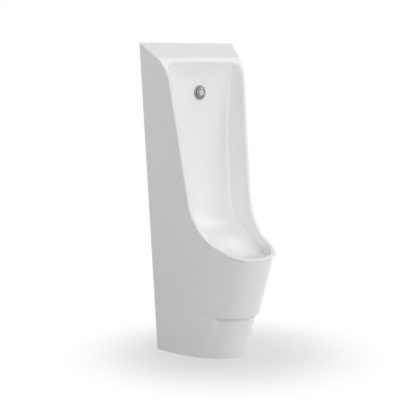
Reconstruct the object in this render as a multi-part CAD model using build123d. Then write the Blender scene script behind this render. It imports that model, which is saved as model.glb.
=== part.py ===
from build123d import *
from math import cos, radians, sin, tan
import os

# Floor-standing urinal of glazed vitreous china, in millimetres.
# X runs to the right as seen from the front, the front faces -Y and +Z is up.
# The back stands against a wall and the foot stands on the floor at Z = 0.
# Sizes named from_wall are measured forward from the plane of the wall.

# China body, outline in plan at the floor, at the lip of the bowl and at the top
height = 1000.0
lip_height = 331.0
top_width = 404.0
floor_width = 268.0
floor_behind_lip = 106.0
lip_depth = 357.0
reach_at_top = 515.0
turn_in_at_floor = 0.0
turn_in_at_lip = 34.0
turn_in_at_top = 98.0
straight_side_share = 0.526
nose_fullness_at_floor = 0.68
nose_fullness_at_lip = 0.84

# China body, line of the front seen from the side, angles down from level
top_slope = 38.7
front_lean = 81.3
lip_slope = 19.0
knee_from_wall = 94.0
knee_radius = 122.0
scoop_radius = 190.0

# China body, walls and edges
china_wall = 11.0
rim_width = 13.0
rim_rounding = 4.0
toe_height = 136.0
toe_recess = 10.0
toe_ledge = 2.0
toe_slope_drop = 12.0

# Niche and basin
brow_height = 62.0
niche_from_wall = 58.7
niche_side_inset = 56.0
basin_drop = 31.0
drain_from_lip = 69.0
sump_radius = 33.0
sump_depth = 6.0

# Windows through the back of the china
service_window_low = 60.0
service_window_below_top = 360.0
service_window_frame = 42.0
inlet_window_radius = 46.0
service_window_corner = 24.0

# Small gaps: between threads that are screwed together, at parts that lift out, and at seats
thread_gap = 0.1
lift_gap = 0.3
seat_gap = 0.3

# Water inlet and spreader, on a level axis through the back of the niche
inlet_below_top = 160.0
spotface_depth = 0.5
spotface_radius = 25.0
back_spotface_radius = 22.0
spreader_gasket_radius = 21.5
spreader_gasket_thickness = 1.5
spreader_flange_radius = 23.5
spreader_flange_thickness = 3.0
spreader_flange_rounding = 1.8
spreader_slot = 1.2
spreader_hood_radius = 17.0
spreader_hood_height = 4.6
spreader_hood_rim = 1.2
spreader_hood_shoulder = 1.5
spreader_cap_radius = 9.4
spreader_cap_height = 1.6
spreader_core_wall = 1.2
spreader_thread_length = 2.0
spreader_ports = 6
spreader_port_width = 4.0
spud_radius = 10.2
spud_bore = 7.5
spud_hole_radius = 11.5
spud_end_from_wall = 17.0
inlet_washer_radius = 20.0
inlet_washer_thickness = 3.0
inlet_ring_radius = 19.0
inlet_ring_thickness = 1.5
inlet_nut_flats = 32.0
inlet_nut_length = 9.0
supply_thread_radius = 10.48
supply_thread_length = 12.0
supply_seal_thickness = 1.5
coupling_radius = 14.5
coupling_from_wall = 1.0
coupling_grip = 13.0
coupling_flats = 30.0
coupling_flats_length = 9.0

# Waste fitting and strainer, on an upright axis through the sump
waste_hole_radius = 23.5
waste_gasket_thickness = 1.5
waste_flange_radius = 31.0
waste_flange_thickness = 3.5
waste_thread_radius = 21.0
waste_bore = 17.5
waste_length = 45.5
strainer_radius = 26.0
strainer_thickness = 1.6
strainer_recess = 1.8
strainer_dome = 6.0
strainer_skirt_length = 7.0
strainer_rim_width = 3.0
strainer_hole_radius = 2.0
strainer_hole_rows = 2
strainer_row_pitch = 5.65
waste_washer_radius = 30.0
waste_washer_thickness = 5.0
waste_ring_thickness = 1.5
waste_nut_flats = 54.0
waste_nut_length = 10.0

# Trap of plastic pipe, from the waste fitting down, up over the weir and to the floor
pipe_radius = 16.0
pipe_bore = 13.5
trap_bend = 40.0
trap_inlet_drop = 40.0
trap_riser = 14.0
trap_weir_rise = 16.0
trap_flange_radius = 20.5
trap_flange_thickness = 3.0
trap_washer_thickness = 2.0
trap_nut_radius = 26.0
trap_nut_length = 21.0
trap_nut_lip = 4.0
trap_nut_ribs = 12
trap_rib_radius = 2.0
trap_rib_rise = 1.5
cleanout_radius = 12.0
cleanout_wall = 3.0
cleanout_drop = 9.0
cleanout_plug_flats = 28.0
cleanout_plug_length = 8.0
cleanout_seal_thickness = 1.5
socket_radius = 29.0
socket_bore = 25.2
socket_length = 42.0
socket_taper = 16.0
socket_seal_depth = 2.0
socket_seal_length = 8.0
floor_ring_radius = 42.0
floor_ring_thickness = 10.0
floor_ring_rounding = 3.0
nut_bevel = 1.2

# Steel hangers on the wall, which hook into two windows high in the back
hanger_from_middle = 112.0
hanger_window_width = 58.0
hanger_window_height = 46.0
hanger_window_below_top = 52.0
hanger_window_corner = 8.0
hanger_width = 44.0
hanger_plate = 3.0
hanger_hook_rise = 14.0
hanger_pad_thickness = 2.0
hanger_hole_radius = 3.5
hanger_side_gap = 1.2
hanger_bend_radius = 2.0
hanger_pad_margin = 2.0

# Heights between lip and top at which the sides are fitted too, as shares of the way up,
# and how far a cutter runs past the face that it cuts
middle_share = 0.35
upper_share = 0.68
overshoot = 1.0

wall_y = lip_depth / 2
knee_z = height - knee_from_wall * tan(radians(top_slope))
niche_top = height - brow_height
basin_floor = lip_height - basin_drop
floor_depth = lip_depth - floor_behind_lip
drain_from_wall = lip_depth - drain_from_lip
inlet_height = height - inlet_below_top
service_window_high = height - service_window_below_top
hanger_window_top = height - hanger_window_below_top
middle_height = lip_height + (height - lip_height) * middle_share
upper_height = lip_height + (height - lip_height) * upper_share
above_top = height + 2 * china_wall
side_view = Plane(origin=(0, wall_y, 0), x_dir=(0, -1, 0), z_dir=(-1, 0, 0))


def at(x, from_wall, z):
    """A point given by its distance from the wall."""
    return (x, wall_y - from_wall, z)


# Outside of the china body

def through_three(z, at_floor, at_lip, at_top):
    """The smooth curve over height through its values at the floor, the lip and the top."""
    floor_part = (z - lip_height) * (z - height) / (lip_height * height)
    lip_part = z * (z - height) / (lip_height * (lip_height - height))
    top_part = z * (z - lip_height) / (height * (height - lip_height))
    return at_floor * floor_part + at_lip * lip_part + at_top * top_part


def half_width(z):
    return (floor_width + (top_width - floor_width) * z / height) / 2


def plan_curve(z, inset=0.0, step_back=0.0):
    """Control points of the right half of the plan outline, from the wall round to the nose."""
    half = half_width(z) - inset
    reach = through_three(z, floor_depth, lip_depth, reach_at_top) - inset - step_back
    turn_in = through_three(z, turn_in_at_floor, turn_in_at_lip, turn_in_at_top)
    rise = min(max(z / lip_height, 0.0), 1.0)
    fullness = nose_fullness_at_floor + (nose_fullness_at_lip - nose_fullness_at_floor) * rise
    side_end = (half - turn_in, straight_side_share * reach)
    return [(half, 0.0), side_end, (fullness * half, reach), (0.0, reach)]


def outline(z, right_curves):
    """A closed outline at height z from the curves of its right half, mirrored to the left."""
    edges = []
    for curve in right_curves:
        edges.append(Bezier(*[at(x, d, z) for x, d in curve]))
    for curve in reversed(right_curves):
        edges.append(Bezier(*[at(-x, d, z) for x, d in reversed(curve)]))
    start_x, start_d = right_curves[0][0]
    if start_x > 0:
        edges.append(Line(at(-start_x, start_d, z), at(start_x, start_d, z)))
    return Wire(edges)


def tapered_block(heights, inset=0.0):
    """The body between the given heights, drawn in from the outside by the inset."""
    return Solid.make_loft([outline(z, [plan_curve(z, inset)]) for z in heights])


def moved_corner(corner, slope_before, slope_after, inset):
    """A corner of the front line after both of its lines are drawn in by the inset."""
    before = (-sin(radians(slope_before)), -cos(radians(slope_before)))
    after = (-sin(radians(slope_after)), -cos(radians(slope_after)))
    shift = inset / (1 + before[0] * after[0] + before[1] * after[1])
    return (corner[0] + shift * (before[0] + after[0]), corner[1] + shift * (before[1] + after[1]))


def scoop_corner():
    """Where the leaning front and the slope of the lip would meet if the scoop were sharp."""
    front = tan(radians(front_lean))
    lip = tan(radians(lip_slope))
    from_wall = (knee_z + knee_from_wall * front - lip_height - lip_depth * lip) / (front - lip)
    return (from_wall, knee_z - (from_wall - knee_from_wall) * front)


def space_in_front(inset=0.0):
    """Everything above and in front of the side view's front line, drawn in by the inset."""
    knee = moved_corner((knee_from_wall, knee_z), top_slope, front_lean, inset)
    scoop = moved_corner(scoop_corner(), front_lean, lip_slope, inset)
    behind_wall = -china_wall * 2
    start = (behind_wall, knee[1] + (knee[0] - behind_wall) * tan(radians(top_slope)))
    far = reach_at_top * 1.3
    end = (far, scoop[1] - (far - scoop[0]) * tan(radians(lip_slope)))
    above = start[1] + top_width
    front_line = FilletPolyline(start, knee, scoop, end, radius=[knee_radius - inset, scoop_radius + inset])
    closing = Polyline(end, (far, above), (behind_wall, above), start)
    face = side_view * make_face(front_line.edges() + closing.edges())
    return extrude(face, amount=top_width, both=True)


# Niche and basin, as outlines at several heights.
# Each station: share of the way up from the basin floor to the top of the niche,
# share of the way forward from the niche's back to the drain, how far the sides
# stand forward of the middle, corner radius, and how far the outline is drawn in.

niche_stations = [
    (0.000, 0.905, 4.0, 16.0, 16.0),
    (0.006, 0.885, 8.0, 16.0, 9.0),
    (0.018, 0.845, 12.0, 12.0, 3.0),
    (0.042, 0.785, 15.0, 9.0, 0.0),
    (0.073, 0.655, 16.0, 7.0, 0.0),
    (0.112, 0.495, 16.0, 7.0, 0.0),
    (0.160, 0.300, 16.0, 7.0, 0.0),
    (0.210, 0.177, 16.0, 7.0, 0.0),
    (0.260, 0.100, 16.0, 7.0, 0.0),
    (0.310, 0.071, 16.0, 7.0, 0.0),
    (0.360, 0.050, 16.0, 7.0, 0.0),
    (0.420, 0.029, 15.5, 8.5, 0.0),
    (0.480, 0.012, 14.3, 13.5, 0.0),
    (0.540, 0.002, 12.6, 20.5, 0.0),
    (0.600, 0.000, 10.8, 26.5, 0.0),
    (0.665, 0.000, 9.4, 30.0, 0.0),
    (0.730, 0.000, 8.4, 31.5, 0.0),
    (0.795, 0.000, 7.6, 32.0, 0.0),
    (0.855, 0.000, 6.6, 32.0, 0.0),
    (0.905, 0.001, 5.0, 31.0, 0.0),
    (0.940, 0.005, 3.2, 29.5, 0.0),
    (0.965, 0.015, 1.6, 28.0, 0.5),
    (0.982, 0.032, 0.8, 26.0, 1.8),
    (1.000, 0.066, 0.5, 22.0, 4.0),
    (1.020, 0.130, 0.5, 20.0, 6.0),
]


# How the outlines are put together, in millimetres unless they are shares
corner_reach = 0.62
corner_pull = 0.6
side_draw_in = 1.8
aim_beyond_corner = 12.0
joint_beyond_front = 40.0
joint_beyond_corner = 34.0
joint_at_most = 96.0
joint_share_of_nose = 0.6
joint_beyond_aim = 10.0
back_flat_share = 0.4
back_bend_share = 0.7
link_pull_out = 0.9
link_pull_in = 0.7
roof_starts_at = 0.85
floor_ends_at = 0.4
blend_share = 0.15


def split_curve(points, share):
    """The part of a cubic curve after the given share of its parameter."""
    a, b, c, d = points

    def mix(p, q):
        return (p[0] + (q[0] - p[0]) * share, p[1] + (q[1] - p[1]) * share)

    bc = mix(b, c)
    cd = mix(c, d)
    bcd = mix(bc, cd)
    joint = mix(mix(mix(a, b), bc), bcd)
    return [joint, bcd, cd, d]


def share_at(points, from_wall):
    """The parameter at which a plan curve reaches a distance from the wall."""
    low, high = 0.0, 1.0
    for _ in range(40):
        middle = (low + high) / 2
        if split_curve(points, middle)[0][1] < from_wall:
            low = middle
        else:
            high = middle
    return low


def front_from_wall(z):
    """Distance from the wall of the front line at a height, with its rounded knee and scoop."""
    knee = (knee_from_wall, knee_z)
    scoop = scoop_corner()
    knee_run = knee_radius * tan(radians(front_lean - top_slope) / 2)
    scoop_run = scoop_radius * tan(radians(front_lean - lip_slope) / 2)
    knee_centre = moved_corner(knee, top_slope, front_lean, knee_radius)
    scoop_centre = moved_corner(scoop, front_lean, lip_slope, -scoop_radius)
    if z > knee_z + knee_run * sin(radians(top_slope)):
        return (height - z) / tan(radians(top_slope))
    if z > knee_z - knee_run * sin(radians(front_lean)):
        return knee_centre[0] + (knee_radius ** 2 - (z - knee_centre[1]) ** 2) ** 0.5
    if z > scoop[1] + scoop_run * sin(radians(front_lean)):
        return knee_from_wall + (knee_z - z) / tan(radians(front_lean))
    if z > scoop[1] - scoop_run * sin(radians(lip_slope)):
        return scoop_centre[0] - (scoop_radius ** 2 - (z - scoop_centre[1]) ** 2) ** 0.5
    return scoop[0] + (scoop[1] - z) / tan(radians(lip_slope))


def toward_point(start, end):
    """Unit direction from one plan point to another, and the distance between them."""
    run = (end[0] - start[0], end[1] - start[1])
    length = (run[0] ** 2 + run[1] ** 2) ** 0.5
    return (run[0] / length, run[1] / length), length


def along(point, direction, distance):
    return (point[0] + direction[0] * distance, point[1] + direction[1] * distance)


def niche_outline(station, grow=0.0):
    """One outline of the niche, or of the china round it when it is grown by a wall.

    The right half runs along the back, turns the corner, crosses the side wall and
    joins the curve that keeps the rim equally wide all the way round to the nose.
    """
    up_share, forward_share, sag, corner, draw_in = station
    z = basin_floor + up_share * (niche_top - basin_floor)
    back = niche_from_wall + forward_share * (drain_from_wall - niche_from_wall) - grow
    vertex = (half_width(z) - niche_side_inset - draw_in * side_draw_in + grow, back + sag)
    rim_curve = plan_curve(z, rim_width + draw_in - grow)
    nose = rim_curve[3][1]
    front = front_from_wall(z)
    meet = max(front + joint_beyond_front, vertex[1] + corner + joint_beyond_corner)
    meet = min(meet, vertex[1] + joint_at_most, vertex[1] + joint_share_of_nose * (nose - vertex[1]))
    side = split_curve(rim_curve, share_at(rim_curve, meet))
    aim_from_wall = min(max(front, vertex[1] + corner + aim_beyond_corner), meet - joint_beyond_aim)
    aim = split_curve(rim_curve, share_at(rim_curve, aim_from_wall))[0]
    outward, _ = toward_point(vertex, aim)
    turn_reach = (corner + grow) * corner_reach
    side_start = along(vertex, outward, turn_reach)
    slope = 2 * sag / vertex[0]
    back_end = (vertex[0] - turn_reach, vertex[1] - slope * turn_reach)
    back_curve = [
        (0.0, back),
        (back_end[0] * back_flat_share, back),
        (back_end[0] * back_bend_share, back_end[1] - slope * back_end[0] * (1 - back_bend_share)),
        back_end,
    ]
    turn = [
        back_end,
        along(back_end, (1.0, slope), corner_pull * turn_reach),
        along(side_start, outward, -corner_pull * turn_reach),
        side_start,
    ]
    inward, _ = toward_point(side[0], side[1])
    _, aim_gap = toward_point(side_start, aim)
    _, meet_gap = toward_point(aim, side[0])
    link = [
        side_start,
        along(side_start, outward, link_pull_out * aim_gap),
        along(side[0], inward, -link_pull_in * meet_gap),
        side[0],
    ]
    roof_share = min(max((up_share - roof_starts_at) / blend_share, 0.0), 1.0)
    floor_share = min(max((floor_ends_at - up_share) / blend_share, 0.0), 1.0)
    return outline(z + grow * (roof_share - floor_share), [back_curve, turn, link, side])


def niche_space(grow=0.0):
    return Solid.make_loft([niche_outline(station, grow) for station in niche_stations])


def border_of_front(solid):
    """The edges that run round the flat and rolled faces of the front, the brow and the lip."""
    seen = {}
    for face in solid.faces():
        normal = face.normal_at()
        rolled = face.geom_type in (GeomType.PLANE, GeomType.CYLINDER)
        if rolled and abs(normal.X) < 0.001 and normal.Y < -0.1:
            for edge in face.edges():
                middle = edge @ 0.5
                key = (round(middle.X, 2), round(middle.Y, 2), round(middle.Z, 2))
                seen.setdefault(key, []).append(edge)
    return [edges[0] for edges in seen.values() if len(edges) == 1]


def block_over_toe(foot, inset=0.0, lift=0.0):
    """The body over its toe, which steps back from the foot up and slopes out to a narrow ledge."""
    ledge_height = toe_height + lift
    slope_low = ledge_height - toe_slope_drop
    toe_outlines = [
        outline(foot, [plan_curve(foot, inset)]),
        outline(slope_low, [plan_curve(slope_low, inset, toe_recess)]),
        outline(ledge_height, [plan_curve(ledge_height, inset, toe_ledge)]),
    ]
    upper = tapered_block([ledge_height, lip_height, middle_height, upper_height, above_top], inset)
    return upper + Solid.make_loft(toe_outlines, ruled=True)


def outside_of_china():
    """The body as one solid, cut to the front line, with the edges of the front rounded."""
    body = block_over_toe(0.0) - space_in_front()
    border = [edge for edge in border_of_front(body) if (edge @ 0.5).Y < wall_y - 0.1]
    return body.fillet(rim_rounding, border)


def upright_tube(outer, inner, low, high):
    """A round tube on the local Z axis."""
    stand = (Align.CENTER, Align.CENTER, Align.MIN)
    tube = Pos(0, 0, low) * Cylinder(outer, high - low, align=stand)
    if inner > 0:
        tube = tube - Pos(0, 0, low) * Cylinder(inner, high - low, align=stand)
    return tube


def rounded_window(width, low, high, corner, from_middle):
    """A block with rounded corners that cuts a window through the back of the china."""
    middle = Plane(origin=at(from_middle, -china_wall, (low + high) / 2), x_dir=(1, 0, 0), z_dir=(0, -1, 0))
    return extrude(middle * RectangleRounded(width, high - low, corner), amount=2 * china_wall + overshoot)


def upright_axis(from_wall):
    """A plane on the floor in the middle of the body, whose local Z axis points up."""
    return Plane(origin=at(0, from_wall, 0), x_dir=(1, 0, 0), z_dir=(0, 0, 1))


inlet_axis = Plane(origin=at(0, 0, inlet_height), x_dir=(1, 0, 0), z_dir=(0, -1, 0))
drain_axis = upright_axis(drain_from_wall)
sump_floor = basin_floor - sump_depth
china_under_sump = sump_floor - china_wall
niche_seat = niche_from_wall - spotface_depth
niche_back_seat = niche_from_wall - china_wall + spotface_depth


def hollow_of_china():
    """The space inside the shell, open at the foot, with the niche and basin left standing in it."""
    hollow = block_over_toe(-overshoot, china_wall, china_wall / 2)
    hollow = hollow - space_in_front(china_wall)
    hollow = hollow - niche_space(china_wall)
    hollow = hollow - drain_axis * upright_tube(sump_radius + china_wall, 0, china_under_sump, lip_height)
    back_slab = Pos(*at(0, 0, height / 2)) * Box(2 * top_width, 2 * china_wall, 2 * height)
    return hollow - back_slab


def make_china():
    """The one fired piece, with the holes and windows that are cut before firing."""
    china = outside_of_china() - niche_space() - hollow_of_china()
    drain_hole = upright_tube(waste_hole_radius, 0, china_under_sump - china_wall, basin_floor)
    china = china - drain_axis * upright_tube(sump_radius, 0, sump_floor, lip_height)
    china = china - drain_axis * drain_hole
    inlet_cuts = [
        (spotface_radius, niche_seat, niche_seat + china_wall),
        (back_spotface_radius, niche_back_seat - china_wall, niche_back_seat),
        (spud_hole_radius, niche_back_seat - overshoot, niche_from_wall),
        (inlet_window_radius, -overshoot, china_wall + overshoot),
    ]
    for radius, back, front in inlet_cuts:
        china = china - inlet_axis * upright_tube(radius, 0, back, front)
    service_width = 2 * (half_width(service_window_low) - service_window_frame)
    china = china - rounded_window(
        service_width, service_window_low, service_window_high, service_window_corner, 0)
    hanger_window_low = hanger_window_top - hanger_window_height
    for from_middle in (-hanger_from_middle, hanger_from_middle):
        china = china - rounded_window(
            hanger_window_width, hanger_window_low, hanger_window_top, hanger_window_corner, from_middle)
    return china


# Plain shapes shared by the fittings

def turned(shape, radius, edge_height):
    """Rounds the outermost circle of a turned piece at one height on its axis."""
    circles = shape.edges().filter_by(GeomType.CIRCLE)
    rings = [edge for edge in circles if abs(edge.center().Z - edge_height) < 0.01]
    return fillet(max(rings, key=lambda ring: ring.radius), radius)


def hexagon(flats, low, high):
    """A solid hexagon on the local Z axis with its corners bevelled at both ends."""
    blank = upright_tube(flats / 3 ** 0.5, 0, low, high)
    blank = chamfer(blank.edges().filter_by(GeomType.CIRCLE), nut_bevel)
    prism = Pos(0, 0, low) * extrude(RegularPolygon(flats / 2, 6, major_radius=False), amount=high - low)
    return blank & prism


def hexagon_nut(flats, bore, low, high):
    return hexagon(flats, low, high) - upright_tube(bore, 0, low, high)


# Spreader and water inlet, with distances measured forward from the wall

gasket_front = niche_seat + spreader_gasket_thickness
flange_front = gasket_front + spreader_flange_thickness
hood_back = flange_front + spreader_slot
hood_front = hood_back + spreader_hood_height
spud_front = hood_back + spreader_thread_length
spud_fit = spud_radius + thread_gap
washer_back = niche_back_seat - inlet_washer_thickness
ring_back = washer_back - inlet_ring_thickness
nut_back = ring_back - inlet_nut_length
coupling_shoulder = spud_end_from_wall - supply_seal_thickness
coupling_front = spud_end_from_wall + coupling_grip


def spreader_port_cuts():
    """Ports all round, through which water passes from the spud into the slot."""
    reach = 2 * spud_radius
    cuts = []
    for place in PolarLocations(0, spreader_ports):
        centre = Pos(reach / 2, 0, (flange_front + hood_back) / 2)
        cuts.append(place * centre * Box(reach, spreader_port_width, spreader_slot))
    return cuts


def make_spreader_flange():
    flange = upright_tube(spreader_flange_radius, spud_fit, gasket_front, flange_front)
    return turned(flange, spreader_flange_rounding, flange_front)


def make_spreader_hood():
    """A shallow dome screwed on the spud; water leaves through the slot behind its rim."""
    rim_front = hood_back + spreader_hood_rim
    slope = Cone(
        spreader_hood_radius, spreader_cap_radius + spreader_hood_shoulder, hood_front - rim_front,
        align=(Align.CENTER, Align.CENTER, Align.MIN))
    hood = upright_tube(spreader_hood_radius, 0, hood_back, rim_front) + Pos(0, 0, rim_front) * slope
    hood = turned(hood, spreader_hood_rim / 2, rim_front)
    hood = hood + upright_tube(spud_fit + spreader_core_wall, 0, flange_front, hood_back)
    hood = hood - upright_tube(spud_fit, 0, flange_front, spud_front)
    return hood - spreader_port_cuts()


def make_spreader_cap():
    cap_front = hood_front + spreader_cap_height
    cap = upright_tube(spreader_cap_radius, 0, hood_front, cap_front)
    return turned(cap, spreader_cap_height / 2, cap_front)


def make_inlet_spud():
    return upright_tube(spud_radius, spud_bore, spud_end_from_wall, spud_front) - spreader_port_cuts()


def make_supply_coupling():
    """Brass coupling: takes the threaded supply pipe at the wall and the spud at its other end."""
    flats_low = (coupling_from_wall + coupling_front - coupling_flats_length) / 2
    coupling = upright_tube(coupling_radius, 0, coupling_from_wall, coupling_front)
    coupling = coupling + hexagon(coupling_flats, flats_low, flats_low + coupling_flats_length)
    coupling = coupling - upright_tube(spud_bore, 0, coupling_from_wall, coupling_front)
    coupling = coupling - upright_tube(
        supply_thread_radius, 0, coupling_from_wall, coupling_from_wall + supply_thread_length)
    return coupling - upright_tube(spud_fit, 0, coupling_shoulder, coupling_front)


def make_inlet_pieces():
    pieces = {
        "spreader_gasket": upright_tube(spreader_gasket_radius, spud_fit, niche_seat, gasket_front),
        "spreader_flange": make_spreader_flange(),
        "spreader_hood": make_spreader_hood(),
        "spreader_cap": make_spreader_cap(),
        "inlet_spud": make_inlet_spud(),
        "inlet_washer": upright_tube(inlet_washer_radius, spud_fit, washer_back, niche_back_seat),
        "inlet_backing_ring": upright_tube(inlet_ring_radius, spud_fit, ring_back, washer_back),
        "inlet_nut": hexagon_nut(inlet_nut_flats, spud_fit, nut_back, ring_back),
        "supply_seal": upright_tube(spud_radius, spud_bore, coupling_shoulder, spud_end_from_wall),
        "supply_coupling": make_supply_coupling(),
    }
    return {name: inlet_axis * piece for name, piece in pieces.items()}


# Waste fitting and strainer, with heights measured up from the floor

waste_gasket_top = sump_floor + waste_gasket_thickness
waste_top = waste_gasket_top + waste_flange_thickness
waste_end = waste_top - waste_length
waste_fit = waste_thread_radius + thread_gap
strainer_seat = waste_top - strainer_recess
strainer_low = strainer_seat + lift_gap
strainer_rim_top = strainer_low + strainer_thickness
strainer_top = strainer_rim_top + strainer_dome
waste_washer_low = china_under_sump - waste_washer_thickness
waste_ring_low = waste_washer_low - waste_ring_thickness
waste_nut_low = waste_ring_low - waste_nut_length


def make_waste_fitting():
    """Flanged tube with a recess for the strainer, threaded on the outside below the china."""
    flange = upright_tube(waste_flange_radius, 0, waste_gasket_top, waste_top)
    flange = turned(flange, strainer_recess / 2, waste_top)
    fitting = flange + upright_tube(waste_thread_radius, 0, waste_end, waste_gasket_top)
    fitting = fitting - upright_tube(waste_bore, 0, waste_end, waste_top)
    return fitting - upright_tube(strainer_radius + lift_gap, 0, strainer_seat, waste_top)


def make_strainer():
    """A domed plate with rings of drilled holes and a skirt that keeps it in the middle."""
    dome_radius = (strainer_radius ** 2 + strainer_dome ** 2) / (2 * strainer_dome)
    ball = Pos(0, 0, strainer_top - dome_radius) * Sphere(dome_radius)
    hollow_radius = strainer_radius - strainer_rim_width
    hollow = upright_tube(hollow_radius, 0, strainer_low, strainer_top)
    hollow = hollow & (Pos(0, 0, -strainer_thickness) * ball)
    skirt_radius = waste_bore - 2 * lift_gap
    skirt_low = strainer_seat - strainer_skirt_length
    plate = (upright_tube(strainer_radius, 0, strainer_low, strainer_top) & ball) - hollow
    skirt = upright_tube(skirt_radius, skirt_radius - strainer_thickness, skirt_low, strainer_top) & ball
    strainer = plate + skirt
    hole = upright_tube(strainer_hole_radius, 0, strainer_low, strainer_top)
    strainer = strainer - hole
    for row in range(1, strainer_hole_rows + 1):
        for place in PolarLocations(row * strainer_row_pitch, 6 * row):
            strainer = strainer - place * hole
    return strainer


def make_waste_pieces():
    pieces = {
        "waste_gasket": upright_tube(waste_flange_radius - seat_gap, waste_fit, sump_floor, waste_gasket_top),
        "waste_fitting": make_waste_fitting(),
        "strainer": make_strainer(),
        "waste_washer": upright_tube(waste_washer_radius, waste_fit, waste_washer_low, china_under_sump),
        "waste_backing_ring": upright_tube(waste_washer_radius, waste_fit, waste_ring_low, waste_washer_low),
        "waste_nut": hexagon_nut(waste_nut_flats, waste_fit, waste_nut_low, waste_ring_low),
    }
    return {name: drain_axis * piece for name, piece in pieces.items()}


# Trap, in the middle plane: down from the waste, round a bend, up, over the weir and down

trap_top = waste_end - trap_washer_thickness
trap_flange_low = trap_top - trap_flange_thickness
bend_z = waste_end - trap_inlet_drop
bend_from_wall = drain_from_wall - trap_bend
bend_underside = bend_z - trap_bend - pipe_radius
riser_from_wall = bend_from_wall - trap_bend
joint_low = bend_z + trap_riser
joint_washer_low = joint_low + trap_flange_thickness
joint_top = joint_washer_low + trap_washer_thickness
weir_z = joint_top + trap_weir_rise
weir_from_wall = riser_from_wall - trap_bend
outlet_from_wall = weir_from_wall - trap_bend
cleanout_low = bend_underside - cleanout_drop
cleanout_seal_low = cleanout_low - cleanout_seal_thickness
socket_seal_low = socket_length - 2 * socket_seal_length
riser_axis = upright_axis(riser_from_wall)
cleanout_axis = upright_axis(bend_from_wall)
outlet_axis = upright_axis(outlet_from_wall)


def pipe_path(start, bend_start, bend_middle, bend_end, end):
    bend = ThreePointArc(bend_start, bend_middle, bend_end)
    return Wire([Line(start, bend_start), bend, Line(bend_end, end)])


def rod_along(path, radius):
    return sweep(Plane(origin=path @ 0, z_dir=path % 0) * Circle(radius), path=path)


def make_trap_u_bend():
    """The bend that holds the water seal, with a threaded cleanout at its lowest point."""
    path = pipe_path(
        at(0, drain_from_wall, trap_top),
        at(0, drain_from_wall, bend_z),
        at(0, bend_from_wall, bend_z - trap_bend),
        at(0, riser_from_wall, bend_z),
        at(0, riser_from_wall, joint_washer_low))
    bend = rod_along(path, pipe_radius)
    bend = bend + drain_axis * upright_tube(trap_flange_radius, 0, trap_flange_low, trap_top)
    bend = bend + riser_axis * upright_tube(trap_flange_radius, 0, joint_low, joint_washer_low)
    pipe_middle = bend_underside + pipe_radius
    bend = bend + cleanout_axis * upright_tube(cleanout_radius + cleanout_wall, 0, cleanout_low, pipe_middle)
    bend = bend - rod_along(path, pipe_bore)
    return bend - cleanout_axis * upright_tube(cleanout_radius, 0, cleanout_low, pipe_middle)


def make_trap_outlet_bend():
    """The bend over the weir, the down pipe and the socket that takes the floor pipe."""
    taper_top = socket_length + socket_taper
    path = pipe_path(
        at(0, riser_from_wall, joint_top),
        at(0, riser_from_wall, weir_z),
        at(0, weir_from_wall, weir_z + trap_bend),
        at(0, outlet_from_wall, weir_z),
        at(0, outlet_from_wall, socket_length))
    stand = (Align.CENTER, Align.CENTER, Align.MIN)
    taper = Pos(0, 0, socket_length) * Cone(socket_radius, pipe_radius, socket_taper, align=stand)
    bend = rod_along(path, pipe_radius)
    bend = bend + riser_axis * upright_tube(waste_thread_radius, 0, joint_top, weir_z)
    bend = bend + outlet_axis * (upright_tube(socket_radius, 0, seat_gap, socket_length) + taper)
    bend = bend - rod_along(path, pipe_bore)
    bend = bend - outlet_axis * upright_tube(socket_bore, 0, seat_gap, socket_length)
    groove_radius = socket_bore + socket_seal_depth
    groove = upright_tube(groove_radius, 0, socket_seal_low, socket_seal_low + socket_seal_length)
    return bend - outlet_axis * groove


def make_trap_nut(seat):
    """A ribbed union nut: its lip pulls the flange above it, at the given height, to the thread."""
    low = seat - trap_nut_lip
    high = low + trap_nut_length
    body_radius = trap_nut_radius - trap_rib_rise
    nut = upright_tube(body_radius, 0, low, high)
    for place in PolarLocations(trap_nut_radius - trap_rib_radius, trap_nut_ribs):
        nut = nut + place * upright_tube(trap_rib_radius, 0, low, high)
    nut = nut - upright_tube(pipe_radius + thread_gap, 0, low, seat)
    return nut - upright_tube(waste_fit, 0, seat, high)


def make_cleanout_plug():
    head = hexagon(cleanout_plug_flats, cleanout_seal_low - cleanout_plug_length, cleanout_seal_low)
    return head + upright_tube(cleanout_radius - thread_gap, 0, cleanout_seal_low, bend_underside)


def make_floor_ring():
    ring = upright_tube(floor_ring_radius, 0, 0, floor_ring_thickness)
    return turned(ring, floor_ring_rounding, floor_ring_thickness) - upright_tube(
        socket_radius, 0, 0, floor_ring_thickness)


def make_trap_pieces():
    trap_washer_bore = pipe_bore + thread_gap
    socket_groove = socket_bore + socket_seal_depth
    return {
        "trap_inlet_washer": drain_axis * upright_tube(
            trap_flange_radius, trap_washer_bore, trap_top, waste_end),
        "trap_inlet_nut": drain_axis * make_trap_nut(trap_flange_low),
        "trap_u_bend": make_trap_u_bend(),
        "cleanout_seal": cleanout_axis * upright_tube(
            cleanout_radius + cleanout_wall, cleanout_radius, cleanout_seal_low, cleanout_low),
        "cleanout_plug": cleanout_axis * make_cleanout_plug(),
        "trap_joint_washer": riser_axis * upright_tube(
            trap_flange_radius, trap_washer_bore, joint_washer_low, joint_top),
        "trap_joint_nut": riser_axis * make_trap_nut(joint_low),
        "trap_outlet_bend": make_trap_outlet_bend(),
        "socket_seal": outlet_axis * upright_tube(
            socket_groove, socket_bore, socket_seal_low, socket_seal_low + socket_seal_length),
        "floor_ring": outlet_axis * make_floor_ring(),
    }


# Hangers

hook_top = hanger_window_top - hanger_pad_thickness
tongue_low = hook_top - hanger_plate
hanger_low = hanger_window_top - hanger_window_height + hanger_hook_rise + hanger_side_gap


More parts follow.
